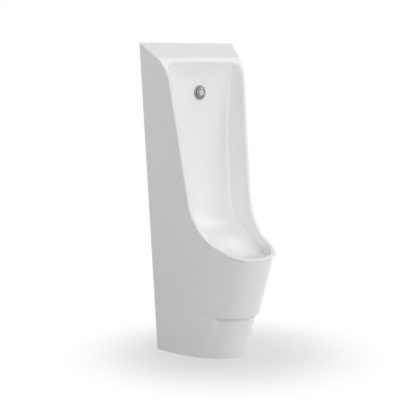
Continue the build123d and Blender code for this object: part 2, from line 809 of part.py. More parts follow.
def make_hanger(from_middle):
    """A plate on the wall whose bent tongue passes under the window's top edge and turns up."""
    lip_back = china_wall + hanger_side_gap
    lip_front = lip_back + hanger_plate
    lip_top = hook_top + hanger_hook_rise
    corners = [
        (0, hanger_low),
        (hanger_plate, hanger_low),
        (hanger_plate, tongue_low),
        (lip_front, tongue_low),
        (lip_front, lip_top),
        (lip_back, lip_top),
        (lip_back, hook_top),
        (0, hook_top),
    ]
    sheet = extrude(side_view * make_face(Polyline(corners, close=True)), amount=hanger_width / 2, both=True)
    bend = [edge for edge in sheet.edges().filter_by(Axis.X) if abs((edge @ 0.5).Z - tongue_low) < 0.01]
    bend = [edge for edge in bend if (edge @ 0.5).Y < wall_y - lip_back]
    sheet = fillet(bend, hanger_bend_radius)
    hole_axis = Plane(origin=at(0, 0, (hanger_low + tongue_low) / 2), x_dir=(1, 0, 0), z_dir=(0, -1, 0))
    return Pos(from_middle, 0, 0) * (sheet - hole_axis * upright_tube(hanger_hole_radius, 0, 0, hanger_plate))


def make_hanger_pads():
    """Plastic pads between the tongues of the hangers and the china that rests on them."""
    pads = []
    for side in (-1, 1):
        middle = at(side * hanger_from_middle, china_wall / 2, (hook_top + hanger_window_top) / 2)
        pad_width = hanger_width - 2 * hanger_pad_margin
        pads.append(Pos(*middle) * Box(pad_width, china_wall, hanger_pad_thickness))
    return Compound(children=pads)


def make_parts():
    parts = {"china_body": make_china()}
    parts.update(make_inlet_pieces())
    parts.update(make_waste_pieces())
    parts.update(make_trap_pieces())
    parts["hanger_left"] = make_hanger(-hanger_from_middle)
    parts["hanger_right"] = make_hanger(hanger_from_middle)
    parts["hanger_pads"] = make_hanger_pads()
    return parts


if __name__ == "__main__":
    os.makedirs("parts", exist_ok=True)
    for name, shape in make_parts().items():
        export_step(shape, f"parts/{name}.step")
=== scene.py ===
import bmesh
import bpy
from math import cos, pi, radians, sin, tan
from mathutils import Matrix, Vector


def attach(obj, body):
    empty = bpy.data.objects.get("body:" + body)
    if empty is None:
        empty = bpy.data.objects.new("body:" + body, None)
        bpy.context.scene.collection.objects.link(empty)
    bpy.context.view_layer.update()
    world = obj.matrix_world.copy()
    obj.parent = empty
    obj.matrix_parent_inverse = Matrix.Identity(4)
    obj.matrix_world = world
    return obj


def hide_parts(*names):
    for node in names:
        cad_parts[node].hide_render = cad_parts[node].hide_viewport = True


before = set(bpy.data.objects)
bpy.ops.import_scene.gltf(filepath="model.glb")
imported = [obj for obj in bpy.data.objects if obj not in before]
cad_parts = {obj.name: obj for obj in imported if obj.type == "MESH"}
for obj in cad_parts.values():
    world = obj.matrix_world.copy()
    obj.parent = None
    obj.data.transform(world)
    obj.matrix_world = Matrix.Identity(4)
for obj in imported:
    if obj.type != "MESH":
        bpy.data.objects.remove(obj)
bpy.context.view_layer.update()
scene = bpy.context.scene

# Camera: it stands about four metres from the left front of the urinal, a little
# below the top of the body, and looks slightly down.
camera_place = (-2.4039, -2.5524, 0.9538)
camera_turn = 42.0
camera_tilt = 7.37
camera_lens = 99.38
camera_data = bpy.data.cameras.new("camera")
camera_data.lens = camera_lens
camera_data.sensor_width = 36.0
camera_data.clip_start = 0.1
camera_data.clip_end = 50.0
camera = bpy.data.objects.new("camera", camera_data)
camera.location = camera_place
camera.rotation_euler = (radians(90.0 - camera_tilt), 0.0, radians(-camera_turn))
scene.collection.objects.link(camera)
scene.camera = camera


# China body: one piece of glazed vitreous china, cast in a plaster mould and fired, with a
# hollow shell behind the niche. Its sides are flat and lean outwards, the top slopes forward,
# and the rim runs round the niche and the bowl in one smooth line.
height = 1.0
lip_height = 0.331
top_width = 0.404
floor_width = 0.268
floor_depth = 0.251
lip_depth = 0.357
reach_at_top = 0.515
turn_in_at_lip = 0.034
turn_in_at_top = 0.098
straight_side_share = 0.526
nose_fullness_at_floor = 0.68
nose_fullness_at_lip = 0.84
top_slope = radians(38.7)
front_lean = radians(81.3)
lip_slope = radians(19.0)
knee_from_wall = 0.094
knee_radius = 0.122
scoop_radius = 0.190
china_wall = 0.011
rim_width = 0.013
rim_rounding = 0.004
back_rounding = 0.0012
toe_height = 0.136
toe_recess = 0.010
toe_cove = 0.013
niche_top = 0.938
basin_floor = 0.300
niche_from_wall = 0.0587
niche_side_inset = 0.056
drain_from_wall = 0.288
sump_radius = 0.033
sump_depth = 0.006
brow_corner = 0.025
cove_drop = 0.066
cove_bend = 2.4
inlet_height = 0.840
wall_y = lip_depth / 2
knee_z = height - knee_from_wall * tan(top_slope)


def at(x, from_wall, z):
    """A point given by its distance from the wall."""
    return Vector((x, wall_y - from_wall, z))


def smooth(share):
    """Rises from 0 to 1 with level ends."""
    share = min(max(share, 0.0), 1.0)
    return share * share * (3.0 - 2.0 * share)


def through_three(z, at_floor, at_lip, at_top):
    """The smooth curve over height through its values at the floor, the lip and the top."""
    floor_part = (z - lip_height) * (z - height) / (lip_height * height)
    lip_part = z * (z - height) / (lip_height * (lip_height - height))
    top_part = z * (z - lip_height) / (height * (height - lip_height))
    return at_floor * floor_part + at_lip * lip_part + at_top * top_part


def half_width(z):
    return (floor_width + (top_width - floor_width) * z / height) / 2


def plan_curve(z, inset=0.0):
    """Control points of the right half of the plan outline, from the wall round to the nose."""
    half = half_width(z) - inset
    reach = through_three(z, floor_depth, lip_depth, reach_at_top) - inset
    turn_in = through_three(z, 0.0, turn_in_at_lip, turn_in_at_top)
    rise = min(max(z / lip_height, 0.0), 1.0)
    fullness = nose_fullness_at_floor + (nose_fullness_at_lip - nose_fullness_at_floor) * rise
    side_pull = (half - turn_in, straight_side_share * reach)
    nose_pull = (fullness * half, reach)
    return [(half, 0.0), side_pull, nose_pull, (0.0, reach)]


def on_curve(points, share):
    """The plan point of a cubic curve at a share of its parameter."""
    left = 1.0 - share
    weights = (left ** 3, 3 * left * left * share, 3 * left * share * share, share ** 3)
    x = sum(weight * point[0] for weight, point in zip(weights, points))
    from_wall = sum(weight * point[1] for weight, point in zip(weights, points))
    return Vector((x, from_wall))


def halved(low, high, holds):
    """Two values close together, low and high, between which a condition stops to hold."""
    for _ in range(30):
        middle = (low + high) / 2
        if holds(middle):
            low = middle
        else:
            high = middle
    return low, high


def share_at(points, from_wall):
    """The parameter at which a plan curve reaches a distance from the wall."""
    return halved(0.0, 1.0, lambda share: on_curve(points, share).y < from_wall)[0]


link_steps = 24
rim_steps = 30
plan_steps = 60


def curve_points(points, first, last, count):
    return [on_curve(points, first + (last - first) * step / count) for step in range(count + 1)]


def moved_corner(corner, slope_before, slope_after, inset):
    """A corner of the front line after both of its lines are drawn in by the inset."""
    before = Vector((-sin(slope_before), -cos(slope_before)))
    after = Vector((-sin(slope_after), -cos(slope_after)))
    return Vector(corner) + (before + after) * inset / (1 + before.dot(after))


def front_from_wall(z, inset=0.0):
    """Distance from the wall of the front line at a height, with its rounded knee and scoop."""
    scoop_d = (knee_z + knee_from_wall * tan(front_lean) - lip_height - lip_depth * tan(lip_slope)) / (
        tan(front_lean) - tan(lip_slope))
    scoop_z = knee_z - (scoop_d - knee_from_wall) * tan(front_lean)
    knee = moved_corner((knee_from_wall, knee_z), top_slope, front_lean, inset)
    scoop = moved_corner((scoop_d, scoop_z), front_lean, lip_slope, inset)
    knee_centre = moved_corner((knee_from_wall, knee_z), top_slope, front_lean, knee_radius)
    scoop_centre = moved_corner((scoop_d, scoop_z), front_lean, lip_slope, -scoop_radius)
    knee_arc = knee_radius - inset
    scoop_arc = scoop_radius + inset
    knee_run = knee_arc * tan((front_lean - top_slope) / 2)
    scoop_run = scoop_arc * tan((front_lean - lip_slope) / 2)
    if z > knee.y + knee_run * sin(top_slope):
        return knee.x - (z - knee.y) / tan(top_slope)
    if z > knee.y - knee_run * sin(front_lean):
        return knee_centre.x + (knee_arc ** 2 - (z - knee_centre.y) ** 2) ** 0.5
    if z > scoop.y + scoop_run * sin(front_lean):
        return knee.x + (knee.y - z) / tan(front_lean)
    if z > scoop.y - scoop_run * sin(lip_slope):
        return scoop_centre.x - (scoop_arc ** 2 - (z - scoop_centre.y) ** 2) ** 0.5
    return scoop.x + (scoop.y - z) / tan(lip_slope)


def edge_of_front(z, inset=0.0):
    """Where the side, drawn in by the inset, meets the front at a height."""
    curve = plan_curve(z, inset)
    share = share_at(curve, front_from_wall(z))
    return on_curve(curve, share).x, share


# The niche at several heights: share of the way up from the basin floor to its top, share of
# the way forward from its back to the drain, how far its sides stand forward of the middle,
# corner radius, and how far the outline is drawn in.
niche_stations = [
    (0.000, 0.905, 0.0040, 0.0160, 0.016),
    (0.006, 0.885, 0.0080, 0.0160, 0.009),
    (0.018, 0.845, 0.0120, 0.0120, 0.003),
    (0.042, 0.785, 0.0150, 0.0090, 0.000),
    (0.073, 0.655, 0.0160, 0.0070, 0.000),
    (0.112, 0.495, 0.0160, 0.0070, 0.000),
    (0.160, 0.300, 0.0160, 0.0070, 0.000),
    (0.210, 0.177, 0.0160, 0.0070, 0.000),
    (0.260, 0.100, 0.0160, 0.0070, 0.000),
    (0.310, 0.071, 0.0160, 0.0070, 0.000),
    (0.360, 0.050, 0.0160, 0.0070, 0.000),
    (0.420, 0.029, 0.0155, 0.0085, 0.000),
    (0.480, 0.012, 0.0143, 0.0135, 0.000),
    (0.540, 0.002, 0.0126, 0.0205, 0.000),
    (0.600, 0.000, 0.0108, 0.0265, 0.000),
    (0.665, 0.000, 0.0094, 0.0300, 0.000),
    (0.730, 0.000, 0.0084, 0.0315, 0.000),
    (0.795, 0.000, 0.0076, 0.0320, 0.000),
    (0.855, 0.000, 0.0066, 0.0320, 0.000),
    (0.905, 0.000, 0.0055, 0.0320, 0.000),
    (1.000, 0.000, 0.0040, 0.0300, 0.000),
]
corner_reach = 0.62
corner_pull = 0.6
side_draw_in = 1.8
aim_beyond_corner = 0.012
joint_beyond_front = 0.040
joint_beyond_corner = 0.034
joint_at_most = 0.096
joint_share_of_nose = 0.6
joint_beyond_aim = 0.010
corner_share_of_room = 0.75
back_hold = 0.4
back_ease = 0.3
link_pull = 0.9
joint_pull = 0.7
rim_ease_run = 0.06


def station_at(up_share):
    """The station at a share of the way up, on a smooth curve through the ones above and below."""
    up_share = min(max(up_share, 0.0), 1.0)
    index = 0
    while index < len(niche_stations) - 2 and niche_stations[index + 1][0] < up_share:
        index += 1
    low, high = niche_stations[index], niche_stations[index + 1]
    before = niche_stations[max(index - 1, 0)]
    after = niche_stations[min(index + 2, len(niche_stations) - 1)]
    gap = high[0] - low[0]
    share = (up_share - low[0]) / gap
    values = []
    for column in range(1, 5):
        rise_low = (high[column] - before[column]) / (high[0] - before[0]) * gap
        rise_high = (after[column] - low[column]) / (after[0] - low[0]) * gap
        values.append(
            low[column] * (2 * share ** 3 - 3 * share ** 2 + 1)
            + rise_low * (share ** 3 - 2 * share ** 2 + share)
            + high[column] * (3 * share ** 2 - 2 * share ** 3)
            + rise_high * (share ** 3 - share ** 2))
    return values


def back_from_wall(z, grow=0.0):
    """The back of the niche in the middle plane, with the cove that turns it forward under the brow."""
    forward_share = station_at((z - basin_floor) / (niche_top - basin_floor))[0]
    back = niche_from_wall + forward_share * (drain_from_wall - niche_from_wall) - grow
    cove_low = niche_top - cove_drop
    if z <= cove_low:
        return back
    cove_end = front_from_wall(niche_top)
    rise = min((z - cove_low) / (cove_drop + grow), 1.0)
    return back + (cove_end - back) * rise ** cove_bend


def niche_curves(z, grow=0.0):
    """The right half of the niche's outline at a height: back, corner and side, as plan points."""
    forward_share, sag, corner, draw_in = station_at((z - basin_floor) / (niche_top - basin_floor))
    back = back_from_wall(z, grow)
    front = front_from_wall(z)
    sag = sag * smooth((niche_top + grow - z) / cove_drop)
    rim_curve = plan_curve(z, rim_width + draw_in - grow)
    nose = rim_curve[3][1]
    corner_start = niche_top - brow_corner
    brow_draw_in = 0.0
    if z > corner_start:
        rise = min(z - corner_start, brow_corner)
        brow_draw_in = brow_corner - (brow_corner ** 2 - rise ** 2) ** 0.5
    vertex_x = half_width(z) - niche_side_inset - draw_in * side_draw_in + grow - brow_draw_in
    vertex = Vector((vertex_x, back + sag))
    room = max(front - vertex.y, 0.0005)
    corner = min(corner, room * corner_share_of_room)
    meet = max(front + joint_beyond_front, vertex.y + corner + joint_beyond_corner)
    meet = min(meet, vertex.y + joint_at_most, vertex.y + joint_share_of_nose * (nose - vertex.y))
    meet_share = share_at(rim_curve, meet)
    joint = on_curve(rim_curve, meet_share)
    joint_ahead = on_curve(rim_curve, meet_share + 0.001)
    aim_from_wall = min(max(front, vertex.y + corner + aim_beyond_corner), meet - joint_beyond_aim)
    aim = on_curve(rim_curve, share_at(rim_curve, aim_from_wall))
    outward = (aim - vertex).normalized()
    turn_reach = (corner + grow) * corner_reach
    side_start = vertex + outward * turn_reach
    slope = 2 * sag / vertex.x
    back_end = Vector((vertex.x - turn_reach, vertex.y - slope * turn_reach))
    back_curve = [
        (0.0, back),
        (back_end.x * back_hold, back),
        (back_end.x * (1 - back_ease), back_end.y - slope * back_end.x * back_ease),
        back_end,
    ]
    turn = [
        back_end,
        back_end + Vector((1.0, slope)) * corner_pull * turn_reach,
        side_start - outward * corner_pull * turn_reach,
        side_start,
    ]
    inward = (joint_ahead - joint).normalized()
    link = [
        side_start,
        side_start + outward * link_pull * (aim - side_start).length,
        joint - inward * joint_pull * (joint - aim).length,
        joint,
    ]
    side_points = curve_points(link, 0.0, 1.0, link_steps)
    side_points += curve_points(rim_curve, meet_share, 1.0, rim_steps)[1:]
    if grow == 0.0 and front < nose:
        crossing = crossing_of(side_points, front)
        wanted = edge_of_front(z, rim_width)[0] - brow_draw_in
        side_points = eased_to(side_points, crossing, wanted - crossing[1].x)
    return back_curve, turn, side_points


def crossing_of(points, from_wall):
    """Length along a line of plan points to where it reaches a distance from the wall, and that point."""
    length = 0.0
    for first, second in zip(points, points[1:]):
        if second.y >= from_wall > first.y:
            share = (from_wall - first.y) / (second.y - first.y)
            return length + (second - first).length * share, first.lerp(second, share)
        length += (second - first).length
    return length, points[-1]


def eased_to(points, crossing, shift):
    """The same plan points, moved across so that they pass through the wanted edge of the rim."""
    moved = []
    length = 0.0
    previous = points[0]
    for point in points:
        length += (point - previous).length
        previous = point
        ease = smooth(length / max(crossing[0], 0.0001))
        fade = 1.0 - smooth((length - crossing[0]) / rim_ease_run)
        moved.append(Vector((point.x + shift * ease * fade, point.y)))
    return moved


def length_of(points):
    return sum((second - first).length for first, second in zip(points, points[1:]))


def walked(points, length):
    """The point at a length along a line of points."""
    for first, second in zip(points, points[1:]):
        step = (second - first).length
        if length <= step and step > 0.0:
            return first.lerp(second, length / step)
        length -= step
    return points[-1].copy()


def evenly(samples, lengths_wanted):
    """Samples (a value, a point) picked at lengths along the line through their points."""
    picked = []
    travelled = 0.0
    index = 0
    for wanted in lengths_wanted:
        while index < len(samples) - 2:
            step = (samples[index + 1][1] - samples[index][1]).length
            if travelled + step >= wanted:
                break
            travelled += step
            index += 1
        step = (samples[index + 1][1] - samples[index][1]).length
        share = min((wanted - travelled) / max(step, 1e-9), 1.0)
        picked.append(samples[index][0] + (samples[index + 1][0] - samples[index][0]) * share)
    return picked


# Rows of the mesh cross the rim: row 0 lies at the nose of the lip, and the last one leaves the
# upper corner of the niche. Columns run along the rim.
rim_rows = 150
side_columns = 76
rim_columns = 6
link_columns = 30
turn_columns = 7
back_columns = 16
niche_columns = link_columns + turn_columns + back_columns
edge_room = 0.0058
side_edge_room = 0.009
wall_edge_room = 0.003
shoulder_z = 0.947
shoulder_row_gap = 0.010
samples_along = 3000
last_gap_from_top = 0.012
pairing_ends_at = 0.880


def rim_samples(low, high, inset):
    """Heights and points along the rim's outer or inner edge, close together near the nose."""
    samples = []
    for step in range(samples_along + 1):
        z = low + (high - low) * (step / samples_along) ** 2
        x = edge_of_front(z, inset)[0]
        if inset and z > niche_top - brow_corner:
            x -= brow_corner - max(brow_corner ** 2 - (z - niche_top + brow_corner) ** 2, 0.0) ** 0.5
        samples.append((z, at(x, front_from_wall(z), z)))
    return samples


outer_samples = rim_samples(lip_height, shoulder_z, 0.0)
outer_length = sum((b[1] - a[1]).length for a, b in zip(outer_samples, outer_samples[1:]))
row_gap = (outer_length - shoulder_row_gap) / (rim_rows - 1)
outer_heights = evenly(outer_samples, [row * row_gap for row in range(rim_rows)] + [outer_length])

inner_nose_z = halved(
    lip_height, lip_height + rim_width,
    lambda z: plan_curve(z, rim_width)[3][1] < front_from_wall(z))[1]

inner_samples = rim_samples(inner_nose_z, niche_top, rim_width)
inner_reached = [0.0]
for first, second in zip(inner_samples, inner_samples[1:]):
    inner_reached.append(inner_reached[-1] + (second[1] - first[1]).length)
inner_lengths = [0.0]
nearest = 0
for row in range(1, rim_rows + 1):
    z = outer_heights[row]
    if z > pairing_ends_at:
        break
    outer_point = at(edge_of_front(z)[0], front_from_wall(z), z)
    while nearest < samples_along:
        here, ahead = ((inner_samples[index][1] - outer_point).length for index in (nearest, nearest + 1))
        if ahead > here:
            break
        nearest += 1
    inner_lengths.append(inner_reached[nearest])
paired = len(inner_lengths)
rest = inner_reached[-1] - shoulder_row_gap - inner_lengths[-1]
for row in range(paired, rim_rows):
    inner_lengths.append(inner_lengths[paired - 1] + rest * (row - paired + 1) / (rim_rows - paired))
inner_lengths.append(inner_reached[-1])
inner_heights = evenly(inner_samples, inner_lengths)
inner_points = evenly([(point, point) for _, point in inner_samples], inner_lengths)

back_samples = []
for step in range(samples_along + 1):
    z = inner_nose_z + (niche_top - inner_nose_z) * (1 - (1 - step / samples_along) ** 2)
    back_samples.append((z, at(0.0, back_from_wall(z), z)))
back_length = sum((b[1] - a[1]).length for a, b in zip(back_samples, back_samples[1:]))
back_evenness = 0.35
back_rises = [
    back_evenness * row / rim_rows + (1 - back_evenness) * (row / rim_rows) ** 2
    for row in range(rim_rows + 1)]
back_heights = evenly(back_samples, [back_length * rise for rise in back_rises])


def grid_of(bm, columns, rows, place):
    """A grid whose corners are counted by column and row, each put where place says."""
    made = bmesh.ops.create_grid(bm, x_segments=columns, y_segments=rows, size=0.5)
    for vert in made["verts"]:
        vert.co = place(round((vert.co.x + 0.5) * columns), round((vert.co.y + 0.5) * rows))


def side_share(column, length):
    """Share of a row's length from the rim, with room for the rounded edges before the end columns."""
    if column == 0:
        return 0.0
    if column == side_columns:
        return 1.0
    first = side_edge_room / length
    last = 1.0 - wall_edge_room / length
    return first + (last - first) * (column - 1) / (side_columns - 2)


def place_on_side(column, row):
    """The outer side from the rim's edge, column 0, back to the wall."""
    z_edge = outer_heights[row]
    if row == rim_rows:
        if column == side_columns:
            return at(half_width(height), 0.0, height)
        run = front_from_wall(z_edge)
        from_wall = run * (1 - side_share(column, run))
        z = halved(z_edge, height, lambda z: front_from_wall(z) > from_wall)[0]
        return at(edge_of_front(z)[0], front_from_wall(z), z)
    wall_z = lip_height + (height - last_gap_from_top - lip_height) * row / (rim_rows - 1)
    edge_curve = plan_curve(z_edge)
    share_end = edge_of_front(z_edge)[1] if row else 1.0
    length = length_of(curve_points(edge_curve, 0.0, share_end, link_steps))
    share = side_share(column, length)
    z = z_edge + (wall_z - z_edge) * share
    points = curve_points(plan_curve(z), 0.0, 1.0, plan_steps)
    point = walked(points, length * (1 - share))
    if column == 0:
        point = on_curve(edge_curve, share_end)
    if column == side_columns:
        point = Vector((half_width(z), 0.0))
    if row == 0 and column == 0:
        point.x = 0.0
    return at(point.x, point.y, z)


toe_rows = 10
cove_rows = 8
above_toe = 22
ledge_share = 0.16
ledge_profile = [(0.0004, 0.10), (0.0012, 0.045), (0.0024, 0.012), (0.0042, 0.0)]
toe_turn = 15.4
toe_end_from_middle = 0.099
toe_end_run = 0.015
toe_end_rise = 0.007
toe_end_reach = 0.016
toe_low = toe_height - toe_cove
foot_row_height = 0.006

# Rows below the lip, from the floor up: height, and the share of the toe's recess there. The
# recess grows from the floor, curls out under the ledge and ends in the ledge's rounded edge.
bucket_profile = [(0.0, 0.0)]
for step in range(toe_rows):
    z = foot_row_height + (toe_low - foot_row_height) * step / (toe_rows - 1)
    bucket_profile.append((z, z / toe_low))
for step in range(1, cove_rows + 1):
    turn = pi / 2 * step / cove_rows
    bucket_profile.append((toe_low + toe_cove * sin(turn), ledge_share + (1 - ledge_share) * cos(turn)))
for rise, share in ledge_profile:
    bucket_profile.append((toe_height + rise, share))
first_above = toe_height + 0.008
for step in range(above_toe):
    bucket_profile.append((first_above + (lip_height - first_above) * step / above_toe, 0.0))
bucket_rows = len(bucket_profile)
lip_row_length = length_of(curve_points(plan_curve(lip_height), 0.0, 1.0, link_steps))


def place_on_bucket(column, row):
    """The outside below the lip, with the recess over the toe, which fades out at its two ends."""
    if row == bucket_rows:
        return place_on_side(column, 0)
    z, recess = bucket_profile[row]
    points = curve_points(plan_curve(z), 0.0, 1.0, plan_steps)
    point = walked(points, length_of(points) * (1 - side_share(column, lip_row_length)))
    if column == 0:
        point.x = 0.0
    if column == side_columns:
        point = Vector((half_width(z), 0.0))
    past_end = smooth((point.x - toe_end_from_middle + toe_end_run) / toe_end_run)
    inward = Vector((-toe_turn * point.x, -1.0)).normalized()
    point = point + inward * toe_recess * recess * (1.0 - past_end)
    z += toe_end_rise * past_end * max(0.0, 1.0 - abs(z - toe_height) / toe_end_reach)
    return at(point.x, point.y, z)


def across_rim(column, width):
    """Share of the way over the rim from its inner to its outer edge."""
    if column == 0:
        return 0.0
    if column == rim_columns:
        return 1.0
    first = min(edge_room, 0.44 * width) / width
    return first + (1.0 - 2 * first) * (column - 1) / (rim_columns - 2)


def place_on_rim(column, row):
    """The face of the rim, column 0 at its inner edge."""
    z_out = outer_heights[row]
    outer = at(edge_of_front(z_out)[0] if row else 0.0, front_from_wall(z_out), z_out)
    inner = inner_points[row].copy()
    if row == 0:
        inner.x = 0.0
    share = across_rim(column, (outer - inner).length)
    x = inner.x + (outer.x - inner.x) * share
    z = inner.z + (outer.z - inner.z) * share
    if column == rim_columns:
        return outer
    if column == 0:
        return inner
    return at(x, front_from_wall(z), z)


niche_cache = {}


def niche_at(z):
    """Outline curves at a height, kept because neighbouring rows ask for the same ones."""
    key = round(z, 6)
    if key not in niche_cache:
        niche_cache[key] = niche_curves(z)
    return niche_cache[key]


outline_lengths = []
for row in range(rim_rows + 1):
    z = inner_heights[row]
    back_curve, turn, side_points = niche_at(z)
    link_length = crossing_of(side_points, front_from_wall(z))[0] if row else length_of(side_points)
    outline_lengths.append((link_length, length_of(curve_points(turn, 0, 1, 8)), back_curve[3][0]))


def link_share(column, length):
    """Share of the side wall's length from the rim, with room for the rounded edge first."""
    first = min(edge_room / max(length, 0.001), 0.5)
    if column == 0:
        return 0.0
    return first + (1.0 - first) * (column - 1) / (link_columns - 1)


def place_in_niche(column, row):
    """The inside wall from the rim's inner edge, column 0, round to the middle of the back."""
    if column == 0:
        point = inner_points[row].copy()
        if row == 0:
            point.x = 0.0
        return point
    link_length, turn_length, back_reach = outline_lengths[row]
    total = link_length + turn_length + back_reach
    if row == rim_rows:
        edge = front_from_wall(niche_top)
        if column <= link_columns:
            reached = link_length * link_share(column, link_length)
        elif column <= link_columns + turn_columns:
            reached = link_length + turn_length * (column - link_columns) / turn_columns
        else:
            reached = link_length + turn_length
            reached += back_reach * (column - link_columns - turn_columns) / back_columns
        return at(inner_points[row].x * (1 - reached / total), edge, niche_top)
    z_edge = inner_heights[row]
    z_back = back_heights[row]
    if column <= link_columns:
        share = link_share(column, link_length)
        z = z_edge + (z_back - z_edge) * share * link_length / total
        side_points = niche_at(z)[2]
        if row == 0:
            link_length = length_of(side_points)
        point = walked(side_points, link_length * (1 - share))
    elif column <= link_columns + turn_columns:
        share = (column - link_columns) / turn_columns
        z = z_edge + (z_back - z_edge) * (link_length + turn_length * share) / total
        point = on_curve(niche_at(z)[1], 1 - share)
    else:
        share = (column - link_columns - turn_columns) / back_columns
        z = z_edge + (z_back - z_edge) * (link_length + turn_length + back_reach * share) / total
        point = on_curve(niche_at(z)[0], 1 - share)
    return at(point.x, point.y, z)


def on_outline(curves, column, share_of_side):
    """The point of a column on the niche's outline, from the rim round to the middle of the back."""
    back_curve, turn, side_points = curves
    if column <= link_columns:
        length = length_of(side_points)
        return walked(side_points, length * (1 - share_of_side(column, length)))
    if column <= link_columns + turn_columns:
        return on_curve(turn, 1 - (column - link_columns) / turn_columns)
    return on_curve(back_curve, 1 - (column - link_columns - turn_columns) / back_columns)


basin_heights = [0.330, 0.324, 0.318, 0.3125, 0.3085, 0.3055, 0.3035, 0.3020, 0.3010]
basin_blends = [0.0, 0.0, 0.03, 0.10, 0.22, 0.38, 0.56, 0.74, 0.88]
sump_rings = [
    (0.0350, 0.3003), (0.0338, 0.2999), (0.0330, 0.2990), (0.0330, 0.2962), (0.0326, 0.2946),
    (0.0312, 0.2940), (0.0230, 0.2940), (0.0, 0.2940)]
basin_rows = len(basin_heights) + len(sump_rings)
basin_ring_share = 1.03


def place_in_basin(column, row):
    """The basin from the row at the lip down to the drain, where its outline becomes a circle."""
    if row == 0:
        return place_in_niche(column, 0)
    row -= 1
    angle = pi * (1 - column / niche_columns)
    ring_share = Vector((sin(angle), -cos(angle)))
    if row >= len(basin_heights):
        radius, z = sump_rings[row - len(basin_heights)]
        spot = Vector((ring_share.x * radius, drain_from_wall + ring_share.y * radius))
        if column in (0, niche_columns):
            spot.x = 0.0
        return at(spot.x, spot.y, z)
    z = basin_heights[row]
    point = on_outline(niche_at(z), column, link_share)
    radius = sump_rings[0][0] * basin_ring_share
    spot = Vector((ring_share.x * radius, drain_from_wall + ring_share.y * radius))
    point = point.lerp(spot, basin_blends[row])
    if column in (0, niche_columns):
        point.x = 0.0
    return at(point.x, point.y, z)


top_columns = niche_columns + rim_columns
top_edge_rooms = 1.2


def place_on_top(column, row):
    """The sloped top, from the niche's upper edge and the rim, row 0, back to the wall."""
    if column <= niche_columns:
        low = place_in_niche(niche_columns - column, rim_rows)
    else:
        low = place_on_rim(column - niche_columns, rim_rows)
    edge_point = place_on_side(row, rim_rows)
    if column == top_columns or row == 0:
        return edge_point if column == top_columns else low
    shoulder_x = edge_of_front(shoulder_z)[0]
    share = (edge_point.z - shoulder_z) / (height - shoulder_z)
    first = edge_room / (height - niche_top) * top_edge_rooms
    share = first + (1 - first) * (share - first_share) / (1 - first_share) if row > 1 else first
    wall_x = low.x / shoulder_x * half_width(height)
    across = low.x / shoulder_x
    straight_x = shoulder_x + (half_width(height) - shoulder_x) * share
    x = low.x + (wall_x - low.x) * share + across * (edge_point.x - straight_x) * smooth(across)
    z = low.z + (height - low.z) * share
    if row == side_columns:
        return at(wall_x, 0.0, height)
    return at(x, front_from_wall(z), z)


first_share = (place_on_side(1, rim_rows).z - shoulder_z) / (height - shoulder_z)
weld_gap = 0.00002
plane_gap = 0.00001


def mirrored(bm):
    """Adds the left half of a right half, and welds the two."""
    bmesh.ops.mirror(bm, geom=bm.verts[:] + bm.edges[:] + bm.faces[:], axis="X", merge_dist=weld_gap)
    bmesh.ops.remove_doubles(bm, verts=bm.verts, dist=weld_gap)


skin = bmesh.new()
grid_of(skin, side_columns, rim_rows, place_on_side)
grid_of(skin, side_columns, bucket_rows, place_on_bucket)
grid_of(skin, rim_columns, rim_rows, place_on_rim)
grid_of(skin, niche_columns, rim_rows, place_in_niche)
grid_of(skin, niche_columns, basin_rows, place_in_basin)
grid_of(skin, top_columns, side_columns, place_on_top)
bmesh.ops.remove_doubles(skin, verts=skin.verts, dist=weld_gap)
mirrored(skin)


def closed_on_plane(bm, axis, level):
    """Closes the open edges that lie at one level along an axis, with one face."""
    rim = [edge for edge in bm.edges if edge.is_boundary
           and all(abs(vert.co[axis] - level) < plane_gap for vert in edge.verts)]
    met = {vert for edge in rim for vert in edge.verts}
    ends = [vert for vert in met if sum(edge in rim for edge in vert.link_edges) == 1]
    if len(ends) == 2:
        rim.append(bm.edges.get(ends) or bm.edges.new(ends))
    bmesh.ops.contextual_create(bm, geom=rim)


closed_on_plane(skin, 1, wall_y)
closed_on_plane(skin, 2, 0.0)
bmesh.ops.recalc_face_normals(skin, faces=skin.faces)


def on_wall(co):
    return co.y > wall_y - plane_gap


def sharp_edges(bm, least_angle, wanted):
    """Edges whose faces turn by at least an angle and whose two ends are both wanted."""
    return [edge for edge in bm.edges if edge.calc_face_angle(0.0) > least_angle
            and all(wanted(vert.co) for vert in edge.verts)]


def near_drain(co, radius):
    return Vector((co.x, co.y - wall_y + drain_from_wall)).length < radius


sharp_turn = radians(38)
drain_room = 0.060
rim_room = 0.0005
level_gap = 0.0002
brow_depth = 0.030
brow_end = inner_points[rim_rows].x - rim_room


def under_brow(edge):
    """An edge inside the niche that runs down from the brow, which stays unrounded."""
    return (all(abs(vert.co.x) < brow_end for vert in edge.verts)
            and all(niche_top - brow_depth < vert.co.z < niche_top + rim_room for vert in edge.verts)
            and not all(abs(vert.co.z - niche_top) < level_gap for vert in edge.verts))


rim_edges = sharp_edges(
    skin, sharp_turn, lambda co: co.z > lip_height - rim_room and not near_drain(co, drain_room))
rim_edges = [edge for edge in rim_edges
             if not all(on_wall(vert.co) for vert in edge.verts) and not under_brow(edge)]
bmesh.ops.bevel(
    skin, geom=rim_edges, offset=rim_rounding, offset_type="OFFSET", segments=5, profile=0.5,
    affect="EDGES", clamp_overlap=False, loop_slide=True, material=-1)
outer_edges = sharp_edges(skin, sharp_turn, on_wall)
outer_edges += sharp_edges(skin, sharp_turn, lambda co: co.z < plane_gap)
bmesh.ops.bevel(
    skin, geom=list(dict.fromkeys(outer_edges)), offset=back_rounding, offset_type="OFFSET",
    segments=2, profile=0.5, affect="EDGES", clamp_overlap=False, loop_slide=True, material=-1)

# The hollow behind the walls: the outside drawn in by one wall, less the niche grown by one wall.
hollow_side_columns = 30
hollow_front_columns = 4
hollow_low = -0.020
hollow_rows = 56


